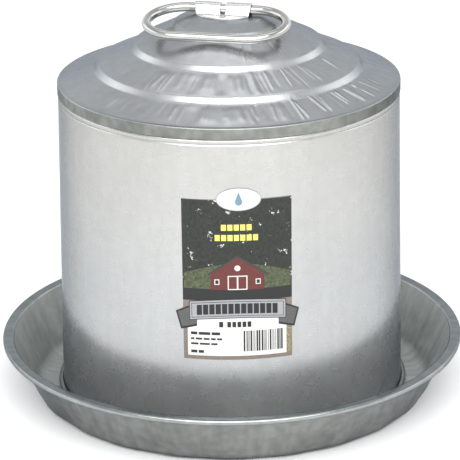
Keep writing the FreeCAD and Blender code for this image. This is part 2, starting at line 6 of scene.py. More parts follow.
import bmesh
import bpy
import numpy as np
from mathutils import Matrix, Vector


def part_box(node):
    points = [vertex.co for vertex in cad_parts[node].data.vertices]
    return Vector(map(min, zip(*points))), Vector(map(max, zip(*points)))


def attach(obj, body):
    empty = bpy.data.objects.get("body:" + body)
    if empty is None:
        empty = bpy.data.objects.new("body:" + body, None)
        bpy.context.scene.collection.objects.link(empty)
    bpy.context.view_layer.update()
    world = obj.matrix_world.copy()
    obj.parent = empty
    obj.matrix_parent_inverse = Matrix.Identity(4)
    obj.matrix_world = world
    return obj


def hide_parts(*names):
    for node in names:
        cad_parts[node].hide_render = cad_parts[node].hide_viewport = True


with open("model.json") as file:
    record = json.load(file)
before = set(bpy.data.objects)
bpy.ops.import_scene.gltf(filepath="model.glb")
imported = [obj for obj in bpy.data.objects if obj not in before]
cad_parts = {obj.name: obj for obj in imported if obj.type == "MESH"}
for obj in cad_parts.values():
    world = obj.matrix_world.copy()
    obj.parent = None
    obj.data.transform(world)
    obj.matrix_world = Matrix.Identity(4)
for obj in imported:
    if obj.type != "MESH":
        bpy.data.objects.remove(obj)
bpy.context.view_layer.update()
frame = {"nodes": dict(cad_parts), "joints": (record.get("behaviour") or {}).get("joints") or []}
NODES = frame["nodes"]
BAIL_JOINT = [joint for joint in frame["joints"] if joint["name"] == "bail_swing"][0]
MM = 0.001
TURN = 2 * math.pi
FRONT = -math.pi / 2          # the label's side, as an angle from +X
BACK = math.pi / 2

scene = bpy.context.scene
scene.view_settings.view_transform = "Standard"


# ---- sizes, in millimetres ----

def corner(node, high, axis):
    """One side of a node's box, in millimetres."""
    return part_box(node)[high][axis] / MM


PAN_RADIUS = corner("pan", 1, 0)
PAN_TOP = corner("pan", 1, 2)
COVER_FOOT = corner("cover_wall", 0, 2)
NECK_TOP = corner("cover_wall", 1, 2)
HEM_RADIUS = corner("cover_wall", 1, 0)
BAND_RADIUS = corner("cover_roof", 1, 0)
BAND_BOTTOM = corner("cover_roof", 0, 2)
CAP_TOP = corner("cover_roof", 1, 2)
LABEL_LOW = corner("label", 0, 2)
LABEL_HIGH = corner("label", 1, 2)
BAIL_X, BAIL_Y, BAIL_HEIGHT = (value / MM for value in BAIL_JOINT["pos_m"])
BAIL_YAW = math.atan2(-BAIL_JOINT["axis"][1], -BAIL_JOINT["axis"][0])

SHEET = 0.7                   # gauge of the cover
PAN_SHEET = 0.8
CLIP_SHEET = 0.9
WIRE_RADIUS = 3.1
# the straight taper of the cover's wall
WALL_FOOT = 5.0
WALL_SHOULDER = 208.4
WALL_FOOT_RADIUS = 115.55
WALL_TOP_RADIUS = 112.5


def wall_radius(z):
    """The cover wall's outer radius at a height."""
    share = (z - WALL_FOOT) / (WALL_SHOULDER - WALL_FOOT)
    return WALL_FOOT_RADIUS + (WALL_TOP_RADIUS - WALL_FOOT_RADIUS) * share


# ---- materials ----

EDGE_TINT = (0.30, 0.33, 0.37, 1.0)      # how much zinc reflects at a grazing angle
PRINT = 0.80        # how much of its nominal colour a print gives back in the studio's strong light
SKY_GAP = (0.52, 0.54, 0.50)


class Nodes:
    """Short names for building one material's node tree."""

    def __init__(self, name):
        self.material = bpy.data.materials.new(name)
        self.material.use_nodes = True
        self.tree = self.material.node_tree
        self.shader = self.tree.nodes["Principled BSDF"]
        self.where = self.add("ShaderNodeTexCoord").outputs["Object"]

    def add(self, kind, **settings):
        node = self.tree.nodes.new(kind)
        for key, value in settings.items():
            setattr(node, key, value)
        return node

    def link(self, source, target):
        self.tree.links.new(source, target)

    def drawn(self, around, along):
        """Coordinates for lines drawn down a round sheet: the direction from its axis, and the height."""
        flat = self.add("ShaderNodeVectorMath", operation="MULTIPLY")
        flat.inputs[1].default_value = (1, 1, 0)
        outward = self.add("ShaderNodeVectorMath", operation="NORMALIZE")
        ring = self.add("ShaderNodeVectorMath", operation="SCALE")
        ring.inputs["Scale"].default_value = around
        place = self.add("ShaderNodeVectorMath", operation="MULTIPLY_ADD")
        place.inputs[1].default_value = (0, 0, along)
        self.link(self.where, flat.inputs[0])
        self.link(flat.outputs["Vector"], outward.inputs[0])
        self.link(outward.outputs["Vector"], ring.inputs[0])
        self.link(self.where, place.inputs[0])
        self.link(ring.outputs["Vector"], place.inputs[2])
        return place.outputs["Vector"]

    def noise(self, scale, detail, rough, where=None):
        """Smooth noise with scale cells to a metre."""
        node = self.add("ShaderNodeTexNoise")
        for name, number in (("Scale", scale), ("Detail", detail), ("Roughness", rough)):
            node.inputs[name].default_value = number
        self.link(where or self.where, node.inputs["Vector"])
        return node.outputs["Fac"]

    def ramp(self, value, *stops):
        """A colour for each value, from stops of (place, colour)."""
        node = self.add("ShaderNodeValToRGB")
        elements = node.color_ramp.elements
        while len(elements) < len(stops):
            elements.new(0.5)
        for element, (place, colour) in zip(elements, stops):
            element.position = place
            element.color = (*colour, 1.0)
        self.link(value, node.inputs["Fac"])
        return node.outputs["Color"]

    def spread(self, value, low, high, start=0.0, end=1.0):
        """The value from start to end, mapped to low to high."""
        node = self.add("ShaderNodeMapRange")
        for name, number in zip(("From Min", "From Max", "To Min", "To Max"), (start, end, low, high)):
            node.inputs[name].default_value = number
        self.link(value, node.inputs["Value"])
        return node.outputs["Result"]

    def mix(self, a, b, share, blend="MIX"):
        """Two colours, each a constant or a socket, blended by a share of either kind."""
        node = self.add("ShaderNodeMix", data_type="RGBA", blend_type=blend)
        if isinstance(share, (int, float)):
            node.inputs["Factor"].default_value = share
        else:
            self.link(share, node.inputs["Factor"])
        for slot_name, source in (("A", a), ("B", b)):
            socket = [s for s in node.inputs if s.name == slot_name and s.type == "RGBA"][0]
            if isinstance(source, tuple):
                socket.default_value = (*source, 1.0)
            else:
                self.link(source, socket)
        return [s for s in node.outputs if s.type == "RGBA"][0]

    def bump(self, *layers):
        """Stack bumps: each layer is (height, distance in metres)."""
        normal = None
        for height, distance in layers:
            node = self.add("ShaderNodeBump")
            node.inputs["Distance"].default_value = distance
            self.link(height, node.inputs["Height"])
            if normal is not None:
                self.link(normal, node.inputs["Normal"])
            normal = node.outputs["Normal"]
        self.link(normal, self.shader.inputs["Normal"])

    def colour(self, source):
        self.link(source, self.shader.inputs["Base Color"])

    def roughness(self, source):
        self.link(source, self.shader.inputs["Roughness"])

    def plain(self, **values):
        """Set the shader's own constants."""
        for name, value in values.items():
            self.shader.inputs[name.replace("_", " ")].default_value = value


def shade(colour, factor):
    """A colour made darker or lighter, no channel over 1."""
    return tuple(min(1.0, c * factor) for c in colour)


def galvanized(name, colour, rough, spangle=0.06, cloud=0.10, streak=0.0, grain=0.00002,
               metal=1.0, painted_highlight_from=None):
    """Zinc on steel: soft clouds, small crystals and a fine grain, with streaks down the sheet.

    Where the last argument gives two heights in metres, the sheet turns from bluish to cream between them:
    a painted warm highlight toward the top.
    """
    n = Nodes(name)
    clouds = n.noise(14, 4, 0.6)
    base = n.ramp(clouds, (0.3, shade(colour, 1 - cloud)), (0.7, shade(colour, 1 + cloud)))
    crystals = n.noise(170, 1, 0.4)
    speck = n.ramp(crystals, (0.35, (1 - spangle,) * 3), (0.65, (1.0,) * 3))
    base = n.mix(base, speck, 1.0, "MULTIPLY")
    if streak:
        lines = n.noise(1.0, 2, 0.5, n.drawn(22, 18))
        stripe = n.ramp(lines, (0.35, (1 - streak,) * 3), (0.62, (1.0,) * 3))
        base = n.mix(base, stripe, 1.0, "MULTIPLY")
    # painted warm highlight: bluish low on the sheet, cream toward the top
    if painted_highlight_from:
        height = n.add("ShaderNodeSeparateXYZ")
        n.link(n.where, height.inputs["Vector"])
        share = n.spread(height.outputs["Z"], 0.0, 1.0, *painted_highlight_from)
        highlight_tone = n.ramp(share, (0.0, (0.97, 0.99, 1.0)), (0.5, (1.0, 1.0, 0.98)), (1.0, (1.0, 0.985, 0.95)))
        base = n.mix(base, highlight_tone, 1.0, "MULTIPLY")
    n.colour(base)
    patches = n.noise(60, 3, 0.6)
    n.roughness(n.spread(patches, rough * 0.85, rough * 1.2, 0.3, 0.7))
    dents = n.noise(26, 0, 0.5)
    fine = n.noise(900, 2, 0.6)
    n.bump((dents, grain * 14), (fine, grain * 0.5))
    n.plain(Metallic=metal, Specular_Tint=EDGE_TINT)
    return n.material


def bright_zinc(name, colour, rough):
    """Bright plated wire or stamping with faint draw lines and handling marks."""
    n = Nodes(name)
    marks = n.noise(160, 4, 0.65)
    n.colour(n.ramp(marks, (0.3, shade(colour, 0.9)), (0.6, colour)))
    n.roughness(n.spread(marks, rough * 0.7, rough * 1.4, 0.3, 0.7))
    n.bump((marks, 0.00004), (n.noise(1400, 2, 0.5), 0.00001))
    n.plain(Metallic=1.0)
    return n.material


def dull(name, colour, rough):
    """Rubber or sealant."""
    n = Nodes(name)
    dust = n.noise(600, 3, 0.6)
    n.colour(n.ramp(dust, (0.3, shade(colour, 0.8)), (0.7, shade(colour, 1.25))))
    n.roughness(n.spread(dust, rough * 0.9, min(1.0, rough * 1.1)))
    n.bump((dust, 0.00005))
    return n.material


def brass(name):
    """Tarnished brass."""
    n = Nodes(name)
    tarnish = n.noise(300, 4, 0.6)
    n.colour(n.ramp(tarnish, (0.3, (0.42, 0.30, 0.12)), (0.7, (0.78, 0.62, 0.30))))
    n.roughness(n.spread(tarnish, 0.25, 0.45))
    n.bump((tarnish, 0.00002))
    n.plain(Metallic=1.0)
    return n.material


def ink(name, colour, mottle, scale):
    """One printed colour on coated paper, with a little unevenness."""
    n = Nodes(name)
    colour = shade(colour, PRINT)
    grain = n.noise(scale, 3, 0.6)
    n.colour(n.ramp(grain, (0.3, shade(colour, 1 - mottle)), (0.7, shade(colour, 1 + mottle))))
    n.roughness(n.spread(grain, 0.42, 0.6))
    n.bump((grain, 0.00001))
    return n.material


def foliage(name, dark, light, scale, flecks=None):
    """Printed leaves: dark masses, lighter clumps and, where wanted, pale gaps of sky."""
    n = Nodes(name)
    leaves = n.noise(scale, 6, 0.75)
    base = n.ramp(leaves, (0.38, dark), (0.56, light), (0.78, shade(light, 1.5)))
    if flecks:
        gaps = n.noise(scale * 0.28, 4, 0.8)
        mask = n.ramp(gaps, (flecks, (0, 0, 0)), (flecks + 0.02, (1, 1, 1)))
        base = n.mix(base, SKY_GAP, mask)
    n.colour(base)
    n.roughness(n.spread(leaves, 0.42, 0.6))
    return n.material


PAN_STEEL = galvanized("pan_zinc", (0.285, 0.29, 0.28), 0.40, spangle=0.16, cloud=0.14, streak=0.15,
                       metal=0.9)
# a lighter copy of the pan's zinc for its inside and floor: painted light
PAN_INSIDE_LIT_STEEL = galvanized("pan_inside_painted_light_zinc", (0.46, 0.48, 0.465), 0.50, spangle=0.10, cloud=0.14,
                        streak=0.16, metal=0.55)
# a brighter copy of the pan's zinc over the top of the rim: painted highlight
RIM_HIGHLIGHT_STEEL = galvanized("rim_painted_highlight_zinc", (0.34, 0.355, 0.35), 0.22, spangle=0.08, cloud=0.10, streak=0.10)
# the cover's zinc, its upper part painted with a warm highlight under the roof's band
COVER_STEEL = galvanized("cover_zinc", (0.465, 0.465, 0.46), 0.27, spangle=0.03, cloud=0.04, streak=0.03,
                         grain=0.000012, metal=0.84, painted_highlight_from=(0.10, 0.21))
# a darker, duller copy of the cover's zinc for the hem down in the pan: painted shade
HEM_SHADED_STEEL = galvanized("hem_painted_shade_zinc", (0.36, 0.375, 0.37), 0.45, spangle=0.10, cloud=0.12)
ROOF_STEEL = galvanized("roof_zinc", (0.455, 0.465, 0.47), 0.29, spangle=0.05, cloud=0.07,
                        grain=0.000015, metal=0.92)
BAND_STEEL = galvanized("band_zinc", (0.27, 0.275, 0.255), 0.42, spangle=0.2, cloud=0.35)
TANK_STEEL = galvanized("tank_zinc", (0.52, 0.53, 0.53), 0.34, cloud=0.08)
CLIP_STEEL = bright_zinc("clip_zinc", (0.66, 0.66, 0.645), 0.26)
WIRE_STEEL = bright_zinc("wire_zinc", (0.50, 0.50, 0.48), 0.14)
RIVET_STEEL = bright_zinc("rivet_zinc", (0.52, 0.53, 0.53), 0.35)
RUBBER = dull("rubber", (0.03, 0.03, 0.03), 0.85)
SEALANT = dull("seam_sealant", (0.42, 0.42, 0.39), 0.8)
BRASS = brass("valve_brass")

# the CAD nodes that keep their own meshes
CARRIED = (
    (TANK_STEEL, ("tank_wall", "tank_bottom", "lock_clips", "valve_pusher")),
    (RIVET_STEEL, ("base_rivets", "lock_studs", "valve_bracket", "valve_pin", "valve_lever",
                   "valve_pad_rivet")),
    (RUBBER, ("base_washers", "valve_pad")),
    (SEALANT, ("tank_sealant", "roof_sealant")),
    (BRASS, ("valve_seat",)),
    (WIRE_STEEL, ("handle",)),
)


def dress_carried():
    """Give each CAD node that stays visible its own material."""
    for material, nodes in CARRIED:
        for node in nodes:
            mesh = NODES[node].data
            mesh.materials.clear()
            mesh.materials.append(material)


# ---- mesh helpers ----

ARC_STEP = math.radians(12)   # longest step round a bend
MERGE = 0.004                 # millimetres
DEGENERATE = 0.001
SEGMENTS = 720                # steps round a turned sheet
ROOF_SEGMENTS = 1200          # more, for the roof's narrow folds


def rounded(points):
    """A line of (radius, height[, bend]) points, with each bend an arc."""
    line = []
    for index, point in enumerate(points):
        here = np.array(point[:2], float)
        if len(point) < 3 or index in (0, len(points) - 1):
            line.append(tuple(here))
            continue
        before = np.array(points[index - 1][:2], float) - here
        after = np.array(points[index + 1][:2], float) - here
        a = before / np.linalg.norm(before)
        b = after / np.linalg.norm(after)
        half = math.acos(max(-1.0, min(1.0, float(a @ b)))) / 2
        run = point[2] / math.tan(half)
        centre = here + (a + b) / np.linalg.norm(a + b) * point[2] / math.sin(half)
        start = here + a * run - centre
        end = here + b * run - centre
        sweep = math.pi - 2 * half
        way = math.copysign(1, start[0] * end[1] - start[1] * end[0])
        count = max(2, math.ceil(sweep / ARC_STEP))
        for k in range(count + 1):
            angle = way * sweep * k / count
            c, s = math.cos(angle), math.sin(angle)
            line.append((centre[0] + c * start[0] - s * start[1], centre[1] + s * start[0] + c * start[1]))
    return line


def divided(line, longest):
    """The same line with long runs cut into even steps."""
    out = [line[0]]
    for a, b in zip(line, line[1:]):
        count = max(1, math.ceil(math.dist(a, b) / longest))
        for k in range(1, count + 1):
            out.append((a[0] + (b[0] - a[0]) * k / count, a[1] + (b[1] - a[1]) * k / count))
    return out


def sheet_outline(line, thickness):
    """Both faces of a bent sheet about its middle line, as one closed loop."""
    points = np.array(line, float)
    along = np.gradient(points, axis=0)
    along /= np.linalg.norm(along, axis=1)[:, None]
    normal = np.stack([-along[:, 1], along[:, 0]], 1) * thickness / 2
    upper = points + normal
    lower = points - normal
    upper[:, 0] = np.maximum(upper[:, 0], 0)
    lower[:, 0] = np.maximum(lower[:, 0], 0)
    return np.concatenate([upper, lower[::-1]])


def link_mesh(name, mesh):
    """The mesh as an object in the scene."""
    thing = bpy.data.objects.new(name, mesh)
    scene.collection.objects.link(thing)
    return thing


def new_object(name, verts, faces):
    """A smooth mesh object from vertices in millimetres, its doubles merged and its normals outward."""
    mesh = bpy.data.meshes.new(name)
    mesh.from_pydata([tuple(v) for v in np.asarray(verts, float) * MM], [], faces)
    mesh.validate()
    mesh.update()
    mesh.shade_smooth()
    work = bmesh.new()
    work.from_mesh(mesh)
    bmesh.ops.remove_doubles(work, verts=work.verts, dist=MERGE * MM)
    bmesh.ops.dissolve_degenerate(work, edges=work.edges, dist=DEGENERATE * MM)
    bmesh.ops.recalc_face_normals(work, faces=work.faces)
    work.to_mesh(mesh)
    work.free()
    return link_mesh(name, mesh)


def turned(name, line, sheet, segments, shape):
    """A sheet about a line of (radius, height), turned about Z; shape moves the points of the grid."""
    outline = sheet_outline(line, sheet)
    angle = np.arange(segments) * TURN / segments
    radius = np.repeat(outline[:, 0][:, None], segments, 1)
    height = np.repeat(outline[:, 1][:, None], segments, 1)
    theta = np.repeat(angle[None, :], len(outline), 0)
    radius, height = shape(radius, height, theta)
    verts = np.stack([radius * np.cos(theta), radius * np.sin(theta), height], -1).reshape(-1, 3)
    rows = len(outline)
    faces = []
    for i in range(rows):
        nxt = (i + 1) % rows
        for j in range(segments):
            k = (j + 1) % segments
            faces.append((i * segments + j, i * segments + k, nxt * segments + k, nxt * segments + j))
    return new_object(name, verts, faces)


def finish_piece(piece, sharp, materials):
    """Smooth shading with corners over sharp degrees left crisp, and the piece's materials in order."""
    piece.data.set_sharp_from_angle(angle=math.radians(sharp))
    for material in materials:
        piece.data.materials.append(material)


def arc_from(theta, centre):
    """Angles measured from centre, between minus pi and pi."""
    return (theta - centre + math.pi) % TURN - math.pi


def wave(theta, seed, low, high, count):
    """A smooth closed wobble round the axis, about -1 to 1."""
    rng = random.Random(seed)
    total = np.zeros_like(theta)
    for _ in range(count):
        order = rng.randint(low, high)
        total = total + rng.uniform(0.4, 1.0) * np.cos(order * theta + rng.uniform(0, TURN))
    return total / count


def eased(share):
    """A share from 0 to 1 with soft ends."""
    return share * share * (3 - 2 * share)


def window(x, start, end, soft):
    """1 between start and end, falling smoothly to 0 over soft."""
    rise = np.clip((x - start) / soft, 0, 1)
    fall = np.clip((end - x) / soft, 0, 1)
    return eased(np.minimum(rise, fall))


# ---- drinking pan ----

PAN_FLOOR = 2.4               # middle line of the raised floor
PAN_STEP = (117.3, 119.6)     # radii where the floor steps down to the foot
PAN_FOOT = 132.1              # radius where the wall leaves the ground
PAN_LEAN = math.radians(23.5)
RIM_ROLL = 3.5                # how far the rim rolls down
RIM_INNER = 150.9             # radius where the roll ends
RIM_HIGHLIGHT_RADIUS = 147.5           # the rim's painted highlight, a brighter and glossier zinc, starts here
RIM_HIGHLIGHT_DEPTH = 4.2
FOLD_DEPTH = 2.2
FLUTE_DEPTH = 0.35
FLOOR_SWELL = 0.12
FLOOR_WAVE = 19.0             # radius over which the floor's swell turns by one radian


def pan_shape(radius, height, theta):
    """Drawn folds at the wall's foot, faint flutes above them and a slow rise and fall of the floor."""
    foot = window(height, -4, 17, 8) * window(radius, 124, 145, 6)
    folds = np.minimum(wave(theta, 11, 9, 26, 9), 0.25) - 0.25
    wall = window(height, 6, 34, 8) * window(radius, 128, 150, 5)
    flutes = wave(theta, 12, 40, 120, 12)
    floor = window(radius, 0, 116, 10) * np.sin(radius / FLOOR_WAVE)
    swell = wave(theta, 13, 2, 5, 4)
    moved = radius + foot * folds * FOLD_DEPTH + wall * flutes * FLUTE_DEPTH
    return moved, height + floor * swell * FLOOR_SWELL


def make_pan():
    t = PAN_SHEET / 2
    rise = PAN_TOP - 2 * t
    line = rounded([
        (0, PAN_FLOOR),
        (90, PAN_FLOOR),
        (PAN_STEP[0], PAN_FLOOR, 1.8),
        (PAN_STEP[1], t, 1.8),
        (PAN_FOOT, t, 10.6),
        (PAN_FOOT + math.tan(PAN_LEAN) * rise, PAN_TOP - t, 1.6),
        (PAN_RADIUS - t, PAN_TOP - t, 1.5),
        (PAN_RADIUS - t, PAN_TOP - RIM_ROLL, 1.5),
        (RIM_INNER, PAN_TOP - RIM_ROLL),
    ])
    pan = turned("drinking_pan", divided(line, 3.0), PAN_SHEET, SEGMENTS, pan_shape)
    finish_piece(pan, 50, (PAN_STEEL, PAN_INSIDE_LIT_STEEL, RIM_HIGHLIGHT_STEEL))
    for face in pan.data.polygons:
        reach = face.center.xy.length
        inward = -face.normal.xy.dot(face.center.xy.normalized()) if reach > 0 else 0.0
        # painted highlight on the top of the rim
        if face.center.z > (PAN_TOP - RIM_HIGHLIGHT_DEPTH) * MM and reach > RIM_HIGHLIGHT_RADIUS * MM:
            face.material_index = 2
        # painted light: the inside and the floor get the lighter copy of the zinc
        elif face.center.z > 0.5 * MM and (face.normal.z > 0.3 or inward > 0.2):
            face.material_index = 1
    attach(pan, "base")
    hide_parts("pan")


# ---- cover wall ----

NECK_RADIUS = 111.5
GROOVE = WALL_SHOULDER - 2.2  # the bead pressed in under the roof's seam
CREASE = 8.0                  # the crease above the hem
HEM_TOP = 7.0
HEM_TURN = 6.0                # where the wall bends out into the hem
HEM_SHADE = 8.6               # top of the hem, a duller zinc painted darker as shade down in the pan
LAP_RADIUS = 114.0            # where the back seam's width is measured
LAP_HALF = 4.5
LAP_RISE = 0.9
SLOW_WAVER = 0.22             # how far the sheet is out of round, in a few waves
QUICK_WAVER = 0.07            # and in many
TWIST = 0.01                  # radians of turn in the quick waver for each millimetre up


def cover_shape(radius, height, theta):
    """Slight waver of the rolled sheet and the folded seam up its back."""
    body = window(height, 12, WALL_SHOULDER - 5, 20)
    slow = wave(theta, 21, 2, 6, 6) * SLOW_WAVER
    quick = wave(theta + height * TWIST, 22, 7, 15, 8) * QUICK_WAVER
    lap = window(arc_from(theta, BACK) * LAP_RADIUS, -LAP_HALF, LAP_HALF, 0.8)
    seam = lap * window(height, 9, WALL_SHOULDER - 1, 2)
    return radius + body * (slow + quick) + seam * LAP_RISE, height


def make_cover_wall():
    t = SHEET / 2

    def on_wall(z, inset=0.0):
        return wall_radius(z) - t - inset

    line = rounded([
        (NECK_RADIUS - t, NECK_TOP),
        (NECK_RADIUS - t, WALL_SHOULDER + 1.3, 0.6),
        (on_wall(WALL_SHOULDER), WALL_SHOULDER - 0.1, 0.6),
        (on_wall(GROOVE + 1.0), GROOVE + 1.0, 0.4),
        (on_wall(GROOVE, 0.55), GROOVE, 0.5),
        (on_wall(GROOVE - 1.0), GROOVE - 1.0, 0.4),
        (on_wall(CREASE + 1.4), CREASE + 1.4, 0.5),
        (on_wall(CREASE, 0.5), CREASE, 0.5),
        (on_wall(HEM_TURN), COVER_FOOT + t, 1.3),
        (HEM_RADIUS - t, COVER_FOOT + t, 1.4),
        (HEM_RADIUS - t, HEM_TOP, 1.2),
        (wall_radius(HEM_TOP) + 0.5, HEM_TOP),
    ])
    wall = turned("cover_shell", divided(line, 6.0), SHEET, SEGMENTS, cover_shape)
    finish_piece(wall, 50, (COVER_STEEL, HEM_SHADED_STEEL))
    # painted shade: the hem below HEM_SHADE gets the darker zinc
    for face in wall.data.polygons:
        if face.center.z < HEM_SHADE * MM:
            face.material_index = 1
    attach(wall, "cover")
    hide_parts("cover_wall")


# ---- cover roof ----

# the corners of the roof's rings: radius, depth under the cap, bend
ROOF_CORNERS = ((21.5, 0.0, 6.0), (34.3, 2.8, 3.0), (38.0, 5.4, 3.0), (60.9, 16.5, 2.0),
                (63.7, 20.3, 2.4), (85.3, 29.6, 2.2), (88.3, 33.7, 2.6))
ROOF_EDGE = 109.8             # radius where the roof meets its band
BAND_TOP = CAP_TOP - 41.6
BAND_INNER = 112.0
SLOPE_WAVER = 0.25
BAND_RIPPLE = 0.12
# each tier's inner and outer radius, number of folds and their depth
TIERS = ((38.5, 62.0, 40, 0.16), (62.5, 86.6, 120, 0.30), (87.0, 109.0, 150, 0.34))
CROWD = math.radians(-48)     # where the folds are closest and sharpest, right of the front
# a few wide soft folds: degrees from +X, inner and outer radius, half width, height
BROAD_FOLDS = ((-100, 64, 85, 5.0, 0.5), (-94, 64, 85, 4.0, -0.45), (-86, 65, 85, 5.5, 0.45),
               (-108, 66, 85, 4.5, -0.4), (-97, 90, 109, 6.0, 0.45), (-104, 90, 109, 5.0, -0.45),
               (-88, 90, 109, 5.0, 0.35), (-124, 65, 85, 5.0, 0.35), (-140, 90, 109, 6.0, 0.35),
               (-75, 65, 85, 3.5, -0.35), (-152, 65, 85, 4.0, 0.3), (-70, 90, 109, 4.0, 0.4))


def wrinkles(radius, theta):
    """Pressed folds that run down each tier, narrow ones dealt at random and the broad ones."""
    rng = random.Random(5)
    total = np.zeros_like(radius)
    for inner, outer, number, depth in TIERS:
        for k in range(number):
            centre = TURN * (k + rng.uniform(-0.45, 0.45)) / number
            side = math.cos((centre - CROWD) / 2) ** 8
            width = rng.uniform(0.7, 2.6) * (1.3 - 0.7 * side)
            height = depth * rng.uniform(-0.6, 1.2) * (0.6 + 1.4 * side)
            start = inner + rng.uniform(-0.5, 8.0) * (1.2 - side)
            end = outer + rng.uniform(-5.0, 0.5)
            skew = rng.uniform(-0.002, 0.002)
            arc = arc_from(theta - skew * (radius - inner), centre)
            across = np.exp(-(arc * radius / width) ** 2)
            total = total + height * across * window(radius, start, end, 3.5)
    for centre, inner, outer, width, height in BROAD_FOLDS:
        across = np.exp(-(arc_from(theta, math.radians(centre)) * radius / width) ** 2)
        total = total + height * across * window(radius, inner, outer, 6.0)
    return total


def roof_shape(radius, height, theta):
    """The wrinkles, a slow waver of the slope and small ripples in the band, pressed inward."""
    slope = window(radius, 39, 109, 4)
    waver = wave(theta, 31, 3, 9, 6) * SLOPE_WAVER * slope
    ripple = window(radius, BAND_INNER, 114, 0.4) * wave(theta, 32, 30, 90, 8) * BAND_RIPPLE
    return radius + ripple - BAND_RIPPLE * (ripple != 0), height + wrinkles(radius, theta) + waver


def make_cover_roof():
    t = SHEET / 2
    top = CAP_TOP - t
    line = rounded([
        (0, top),
        *((radius, top - depth, bend) for radius, depth, bend in ROOF_CORNERS),
        (ROOF_EDGE, BAND_TOP - t, 1.5),
        (BAND_RADIUS - t, BAND_TOP - t, 0.5),
        (BAND_RADIUS - t, BAND_BOTTOM),
    ])
    roof = turned("stepped_roof", divided(line, 1.6), SHEET, ROOF_SEGMENTS, roof_shape)
    finish_piece(roof, 60, (ROOF_STEEL, BAND_STEEL))
    for face in roof.data.polygons:
        if face.center.xy.length > BAND_INNER * MM and face.center.z < (BAND_TOP - 0.4) * MM:
            face.material_index = 1
    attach(roof, "cover")
    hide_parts("cover_roof")


# ---- handle clip ----

CLIP_HALF = (19.0, 13.5)      # half the plate's length and width
CLIP_BORE = WIRE_RADIUS + 0.3
NOTCH_HALF = 2.2
CLIP_RINGS = 60
CLIP_SPOKES = 220


def clip_height(along, across):
    """Top of the clip's sheet over the cap: flat oval with two tunnels and a notch between."""
    outer = CLIP_BORE + CLIP_SHEET
    rise = BAIL_HEIGHT - CAP_TOP
    side = np.abs(across)
    tunnel = rise + np.sqrt(np.maximum(outer ** 2 - side ** 2, 0))
    skirt = CLIP_SHEET + rise * (1 - eased(np.clip((side - outer + 0.5) / 1.9, 0, 1)))
    hump = np.where(side < outer - 0.5, tunnel, skirt)
    notch = 1 - window(along, -NOTCH_HALF, NOTCH_HALF, NOTCH_HALF / 2)
    return CLIP_SHEET + (hump - CLIP_SHEET) * notch


def make_clip():
    """Fine grid over the oval plate, closed below by its own thickness."""
    grid = np.meshgrid((0, 1), np.arange(CLIP_RINGS + 1), np.arange(CLIP_SPOKES), indexing="ij")
    layer, ring, spoke = (index.ravel() for index in grid)
    angle = TURN * spoke / CLIP_SPOKES
    share = ring / CLIP_RINGS
    along = share * CLIP_HALF[0] * np.cos(angle)
    across = share * CLIP_HALF[1] * np.sin(angle)
    top = clip_height(along, across)
    under = np.maximum(top - CLIP_SHEET, 0.02)
    rim = np.clip((share - 0.975) / 0.025, 0, 1)
    top = np.where(top < 1.2, top - 0.35 * rim ** 2, top)
    z = CAP_TOP + np.where(layer == 0, top, under)
    c, s = math.cos(BAIL_YAW), math.sin(BAIL_YAW)
    x = BAIL_X + along * c - across * s
    y = BAIL_Y + along * s + across * c
    count = (CLIP_RINGS + 1) * CLIP_SPOKES
    faces = []
    for j in range(CLIP_SPOKES):
        k = (j + 1) % CLIP_SPOKES
        for first in (0, count):
            for i in range(CLIP_RINGS):
                a = first + i * CLIP_SPOKES
                b = a + CLIP_SPOKES
                faces.append((a + j, a + k, b + k, b + j))
        edge = CLIP_RINGS * CLIP_SPOKES
        faces.append((edge + j, edge + k, count + edge + k, count + edge + j))
    clip = new_object("bail_clip", np.stack([x, y, z], 1), faces)
    finish_piece(clip, 50, (CLIP_STEEL,))
    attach(clip, "cover")
    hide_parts("handle_clip")


# ---- label ----

LABEL_MIDDLE = math.radians(2.0)      # from the front, towards +X
LABEL_TALL = LABEL_HIGH - LABEL_LOW
LABEL_HALF = 35.0
PICTURE_FOOT = 40.0
PAPER_GAP = 0.12              # the paper's underside stands this far off the wall
INK_STEP = 0.05               # from one level of print to the next
INK_THICK = 0.04
BEND_EVERY = 2.5              # widest flat strip where print wraps round the wall


